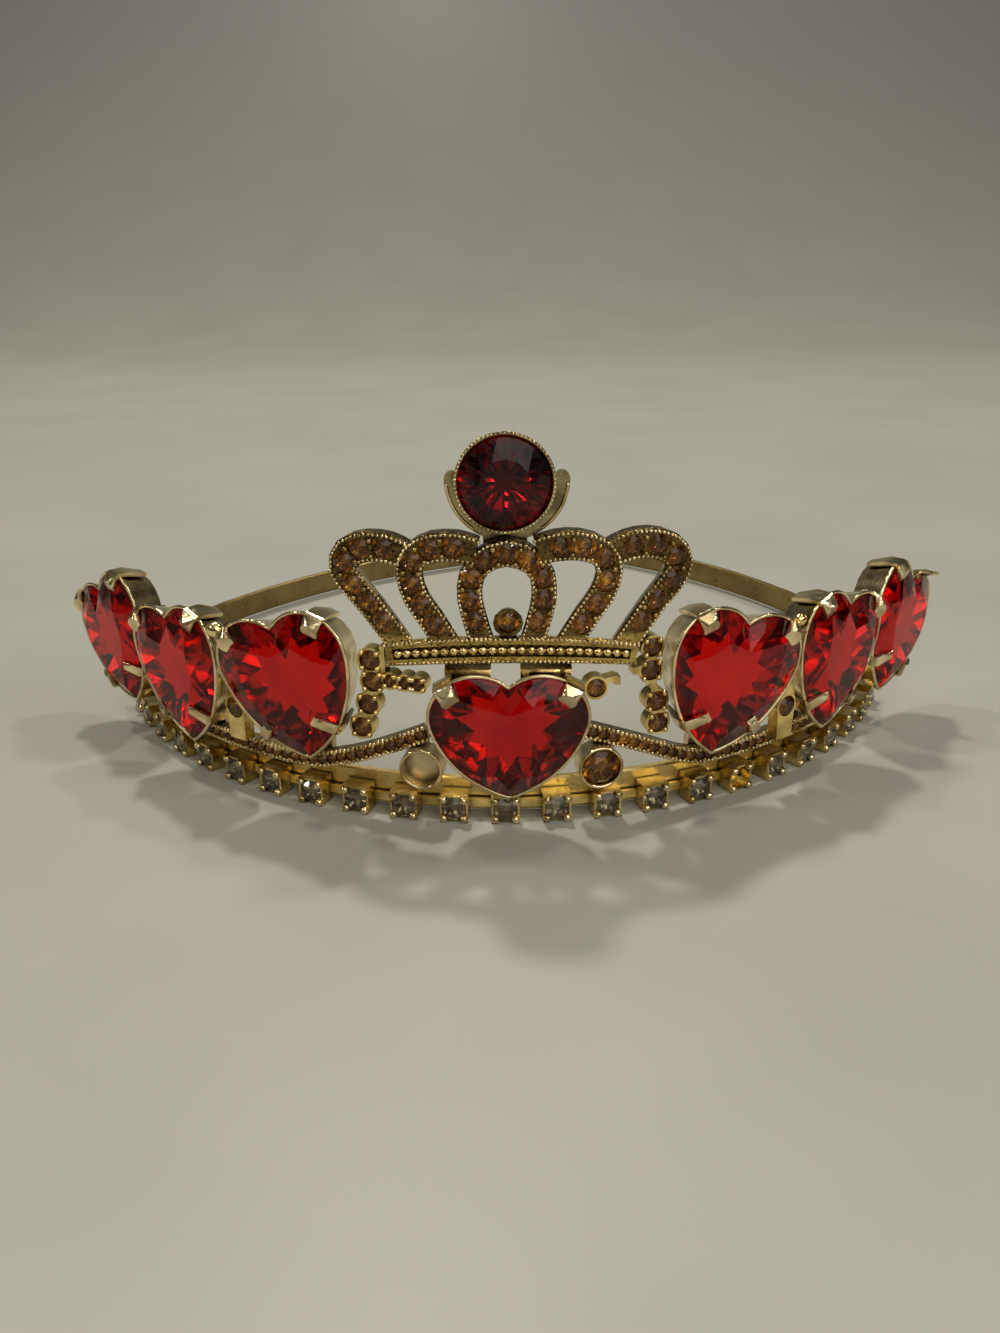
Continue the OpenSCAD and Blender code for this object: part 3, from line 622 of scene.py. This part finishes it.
def bead_ring(build, place, radius, lift, angles, size, stretch):
    """Beads round a stone, on a circle that is lifted above its girdle."""
    for a in angles:
        spot = Vector((radius * math.cos(a), radius * math.sin(a), lift))
        add_bead(build, place @ Matrix.Translation(spot), size, stretch)


def rim_links(mesh):
    """The neighbours of each point on the edges between front faces and bevels."""
    links = {}
    for e in mesh.edges:
        if len(e.link_faces) != 2:
            continue
        middle = (e.verts[0].co + e.verts[1].co) / 2
        near, far = sorted(f.normal.dot(outwards(middle)) for f in e.link_faces)
        if far > FRONT_FACING and BEVEL_FACING[0] < near < BEVEL_FACING[1]:
            a, b = e.verts[0].index, e.verts[1].index
            links.setdefault(a, []).append(b)
            links.setdefault(b, []).append(a)
    return links


def chains(links):
    """Runs of linked points: from end to end first, and then round closed loops."""
    seen = set()
    found = []
    for start in sorted(links, key=lambda k: (len(links[k]) == 2, k)):
        for step in links[start]:
            if (start, step) in seen:
                continue
            chain, a, b = [start], start, step
            while True:
                seen.update([(a, b), (b, a)])
                chain.append(b)
                following = [c for c in links[b] if (b, c) not in seen]
                if len(links[b]) != 2 or not following:
                    break
                a, b = b, following[0]
            found.append(chain)
    return found


def rim_lines(name):
    """Lines of points along a node's front rims."""
    mesh = welded(name)
    places = {v.index: np.array(v.co) for v in mesh.verts}
    lines = [np.array([places[k] for k in chain]) for chain in chains(rim_links(mesh))]
    mesh.free()
    return lines


def bead_row(name, node, pitch, size):
    """A row of fine beads along a node's front rims."""
    shortest = 1.0
    build = Build()
    for line in rim_lines(node):
        length = np.linalg.norm(np.diff(line, axis=0), axis=1).sum()
        if length >= shortest:
            for p in resampled(line, max(1, round(length / pitch))):
                add_bead(build, Matrix.Translation(Vector(p)), size)
    build.piece(name, [RIM_GOLD], "crown_metal", smooth=True)


def shared_prongs(name, node, size, aside):
    """Bead prongs on both sides of the line between stones that are neighbours."""
    reach, proud, stretch = 1.35, 0.1, (1, 1, 1.1)
    places = stone_places(node)
    build = Build()
    for i, (a, r) in enumerate(places):
        for b, _ in places[i + 1:]:
            along = b.translation - a.translation
            if along.length > 2 * r * reach:
                continue
            axis = outwards(a.translation)
            across = axis.cross(along).normalized()
            middle = (a.translation + b.translation) / 2
            for side in (-1, 1):
                centre = middle + across * side * aside + axis * proud
                add_bead(build, frame_towards(centre, axis), size, stretch)
    build.piece(name, [PRONG_GOLD], "crown_metal", smooth=True)


def corner_prongs(name, node):
    """Four bead prongs round each stone of a node."""
    offset, size, lift, stretch = 0.16, 0.4, 0.15, (1, 1, 1.2)
    corners = [math.radians(a) for a in (45, 135, 225, 315)]
    build = Build()
    for place, r in stone_places(node):
        bead_ring(build, place, r + offset, lift, corners, size, stretch)
    build.piece(name, [BEAD_GOLD], "chain_metal", smooth=True)


def base_prongs():
    """A rounded prong on each corner of each square cup."""
    size, inset, sunk, stretch = 0.54, 0.48, 0.12, (1, 1, 0.8)
    build = Build()
    corner = CUP_W / 2 - inset
    for i in range(-CUPS_A_SIDE, CUPS_A_SIDE + 1):
        place = at_front(i * CUP_STEP, CHAIN_FRONT_R - sunk, CUP_W / 2)
        for x in (-corner, corner):
            for y in (-corner, corner):
                add_bead(build, place @ Matrix.Translation((x, y, 0)), size, stretch)
    build.piece("base_prongs", [RIM_GOLD], "chain_metal", smooth=True)


def top_rim():
    """Milled rim round the large round stone."""
    count, size, offset, lift, stretch = 72, 0.21, 0.32, 0.22, (1, 1, 1.3)
    angles = [2 * math.pi * k / count for k in range(count)]
    place, r = stone_places("top_stone")[0]
    build = Build()
    bead_ring(build, place, r + offset, lift, angles, size, stretch)
    build.piece("top_rim", [RIM_GOLD], "crown_metal", smooth=True)


def bar_beads():
    """Round beads in the channel of the crown's bar, which sinks by drop 10 mm off its middle."""
    left, right, height, drop, end_w = -13.9, 15.7, 22.97, 0.55, 0.8
    count, size, channel_r = 25, 0.6, 62.75
    build = Build()
    for i in range(count):
        s = left + end_w + (right - left - 2 * end_w) * (i + 0.5) / count
        place = at_front(math.degrees(s / FRONT_R), channel_r, height - drop * s * s / 100)
        add_bead(build, place, size)
    build.piece("bar_beads", [BEAD_GOLD], "crown_metal", smooth=True)


def cup_rims():
    """A rounded lip on each large round cup."""
    wire_r, inset, mains = 0.22, 0.2, 12
    build = Build()
    for name in ("round_cup_left", "round_cup_right"):
        low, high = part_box(name)
        middle = (low + high) / 2 / MM
        lip_r = (high.z - low.z) / 2 / MM - inset
        place = at_front(math.degrees(math.atan2(middle.x - CENTRE.x, CENTRE.y - middle.y)),
                         CUP_FRONT_R, middle.z)
        tube(build, place, [(x, y, 0) for x, y in round_outline(lip_r, mains)], wire_r)
    build.piece("cup_rims", [RIM_GOLD], "setting_metal", smooth=True)


def solder_beads():
    """A bright drop of solder round each small joint bead."""
    segments, rings = 20, 12
    for side, spread in (("left", (1.35, 1.1, 1.0)), ("right", (0.95, 0.85, 0.8))):
        low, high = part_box(f"joint_{side}")
        middle = (low + high) / 2 / MM
        build = Build()
        place = frame_towards(middle, outwards(middle))
        build.add(place @ Matrix.Diagonal((*spread, 1)), *ball(segments, rings))
        build.piece(f"solder_{side}", [BEAD_GOLD], "setting_metal", [f"joint_{side}"], smooth=True)


def wing_highlight_wires():
    """Bright wire on the leaf wings' lower outer edges, under the top stone: painted highlight."""
    wing_r, wing_x, back, wire_r, count = 6.75, 0.25, -2.05, 0.24, 24
    arcs = ((184, 236), (304, 356))
    place = stone_places("top_stone")[0][0]
    build = Build()
    for first, last in arcs:
        angles = np.radians(np.linspace(first, last, count))
        line = [(wing_x + wing_r * math.cos(a), wing_r * math.sin(a), back) for a in angles]
        tube(build, place, line, wire_r, closed=False)
    build.piece("wing_highlight_wires", [RIM_GOLD], "crown_metal", smooth=True)


# Finish of the CAD nodes that stay

def dress(name, material, edge=0.05):
    """A CAD node keeps its shape, and gets a material and softened edges."""
    sharp = 32
    obj = nodes[name]
    obj.data.materials.clear()
    obj.data.materials.append(material)
    for p in obj.data.polygons:
        p.use_smooth = True
    if "custom_normal" in obj.data.attributes:
        obj.data.attributes.remove(obj.data.attributes["custom_normal"])
    weld = obj.modifiers.new("weld", "WELD")
    weld.merge_threshold = WELD * MM
    bevel = obj.modifiers.new("edges", "BEVEL")
    bevel.width = edge * MM
    bevel.segments = 2
    bevel.limit_method = "ANGLE"
    bevel.angle_limit = math.radians(sharp)
    bevel.harden_normals = True


def dress_nodes():
    """The finish of each CAD node that stays."""
    dress("headband", band_metal(), 0.04)
    for name in ("base_chain", "side_chain_left", "side_chain_right", "broken_link", "link_left",
                 "link_right"):
        dress(name, CHAIN_GOLD)
    dress("crown_emblem", CROWN_GOLD, 0.04)
    for name in ("strand_left", "strand_right"):
        dress(name, GRAIN_GOLD, 0.04)
    dress("top_setting", WING_GOLD)
    dress("round_cup_left", SATIN_GOLD)
    dress("round_cup_right", SETTING_GOLD)
    for number in range(1, len(HEARTS) + 1):
        dress(f"heart_setting_{number}", SETTING_GOLD)


# Stage

def stage_floor():
    """Pale plain floor that sweeps up behind the part, in metres, with painted shade far behind.
    """
    wide, front, far, bend, high = 2.5, -2.0, 0.55, 0.5, 1.6
    profile = [(front, 0.0), (far, 0.0)]
    steps = 16
    for k in range(1, steps + 1):
        a = math.pi / 2 * k / steps
        profile.append((far + bend * math.sin(a), bend * (1 - math.cos(a))))
    profile.append((far + bend, high))
    points = [(x, y, z) for y, z in profile for x in (-wide, wide)]
    faces = [(2 * i, 2 * i + 1, 2 * i + 3, 2 * i + 2) for i in range(len(profile) - 1)]
    mesh = bpy.data.meshes.new("floor")
    mesh.from_pydata(points, [], faces)
    mesh.polygons.foreach_set("use_smooth", [True] * len(faces))
    s = Shader("floor_paint_and_far_shade")
    near = s.ramp(s.noise(0.02, 3), [(0.3, (0.372, 0.366, 0.318)), (0.7, (0.412, 0.406, 0.357))])
    # Painted shade: darker from 450 to 1050 mm behind the part, on the far floor and wall
    tone = s.mix(s.before(450, 1050, "Y"), (0.22, 0.222, 0.205), near)
    mesh.materials.append(s.finish(Base_Color=tone, Roughness=0.45, IOR=1.45))
    floor = bpy.data.objects.new("floor", mesh)
    bpy.context.scene.collection.objects.link(floor)


WARM = (1.0, 0.95, 0.86)
# What the lights shine at, and their name, place, size, watts and colour, in metres
LIGHTS_AIM = (0, -0.04, 0.02)
LIGHTS = [
    ("key", (-0.12, 0.5, 1.05), 0.09, 5, WARM),
    ("key_right", (0.5, 0.25, 1.0), 0.09, 2.2, WARM),
    ("key_left", (-0.5, 0.25, 1.0), 0.09, 2.2, WARM),
    ("front_fill", (0.3, -0.8, 0.7), 1.2, 5, (1.0, 0.97, 0.9)),
    ("left_glint", (-0.8, -0.25, 0.55), 0.1, 0.8, WARM),
    ("right_glint", (0.75, -0.35, 0.6), 0.1, 0.8, (0.92, 0.95, 1.0)),
]


def area_light(name, place, size, watts, colour):
    """A round lamp that shines on the part."""
    data = bpy.data.lights.new(name, "AREA")
    data.shape = "DISK"
    data.size = size
    data.energy = watts
    data.color = colour
    light = bpy.data.objects.new(name, data)
    light.location = place
    aim = Vector(LIGHTS_AIM) - Vector(place)
    light.rotation_euler = aim.to_track_quat("-Z", "Y").to_euler()
    bpy.context.scene.collection.objects.link(light)


# The room's colours at places from its floor to its ceiling, and at values of its patches
ROOM_HEIGHTS = ((0.0, (0.10, 0.10, 0.09)), (0.9, (0.75, 0.75, 0.68)))
ROOM_PATCHES = ((0.44, (0.12, 0.12, 0.11)), (0.58, (2.6, 2.5, 2.3)))
PATCH_SCALE, PATCH_DETAIL = 2.2, 2
ROOM_STRENGTH = 0.24


def room():
    """A room that is brighter towards its ceiling, with patches of light and shade."""
    world = bpy.data.worlds.new("room")
    world.use_nodes = True
    sky = Nodes(world.node_tree, "Generated")
    height = sky.ramp(sky.along("Z"), ROOM_HEIGHTS)
    patches = sky.ramp(sky.noise(PATCH_SCALE, PATCH_DETAIL), ROOM_PATCHES)
    sky.feed(sky.tree.nodes["Background"], Color=sky.mix(1, height, patches, "MULTIPLY"),
             Strength=ROOM_STRENGTH)
    return world


# The photograph's viewpoint: place in millimetres, then degrees
CAMERA_PLACE = (0.03, -167.72, 66.45)
CAMERA_HEADING, CAMERA_PITCH, CAMERA_ROLL = 0.26, 68.09, -0.544
CAMERA_LENS, CAMERA_SENSOR = 28.357, 36
# Nearest thing that it sees, in metres
CAMERA_NEAR = 0.005


def camera():
    """A camera at the photograph's viewpoint."""
    data = bpy.data.cameras.new("camera")
    data.lens = CAMERA_LENS
    data.sensor_width = CAMERA_SENSOR
    data.clip_start = CAMERA_NEAR
    cam = bpy.data.objects.new("camera", data)
    cam.matrix_world = (Matrix.Translation(Vector(CAMERA_PLACE) * MM) @ turn(CAMERA_HEADING, "Z")
                        @ turn(CAMERA_PITCH, "X") @ turn(CAMERA_ROLL, "Z"))
    bpy.context.scene.collection.objects.link(cam)
    bpy.context.scene.camera = cam


# Pieces and stones

AMBER_CUTS = {
    "crown_cuts": "crown_stones",
    "side_cuts_left": "side_stones_left",
    "side_cuts_right": "side_stones_right",
    "broken_link_cut": "broken_link_stone",
    "round_cut_right": "round_stone_right",
    "link_cut_left": "link_left_stone",
    "link_cut_right": "link_right_stone",
    "strand_cuts_left": "strand_left_stones",
    "strand_cuts_right": "strand_right_stones",
}


def stones():
    """The finer cuts of all stones."""
    heart_stones()
    round_stones("top_cut", "top_stone", [MAROON_GLASS, MAROON_FOIL], "maroon_stone", mains=12,
                 table=0.55, crown=0.264, keel=0.34)
    for piece, node in AMBER_CUTS.items():
        round_stones(piece, node, [AMBER_GLASS, AMBER_FOIL], "amber_stone")
    round_stones("base_cuts", "base_chain_stones", [SMOKY_GLASS, SMOKY_FOIL], "smoky_stone",
                 mains=4, power=4, grow=0.12, lift=0.45)


def trim():
    """Milled edges, prongs, beads, rims and solder."""
    bead_row("crown_milgrain", "crown_emblem", pitch=0.55, size=0.23)
    for side in ("left", "right"):
        bead_row(f"strand_milgrain_{side}", f"strand_{side}", pitch=0.62, size=0.29)
        corner_prongs(f"side_prongs_{side}", f"side_stones_{side}")
    for side in ("left", "right"):
        shared_prongs(f"strand_prongs_{side}", f"strand_{side}_stones", size=0.3, aside=0.55)
    shared_prongs("crown_prongs", "crown_stones", size=0.36, aside=0.9)
    base_prongs()
    top_rim()
    wing_highlight_wires()
    bar_beads()
    solder_beads()
    cup_rims()


def main():
    bpy.context.scene.view_settings.view_transform = "Standard"
    camera()
    for light in LIGHTS:
        area_light(*light)
    bpy.context.scene.world = room()
    stage_floor()
    stones()
    trim()
    dress_nodes()


main()
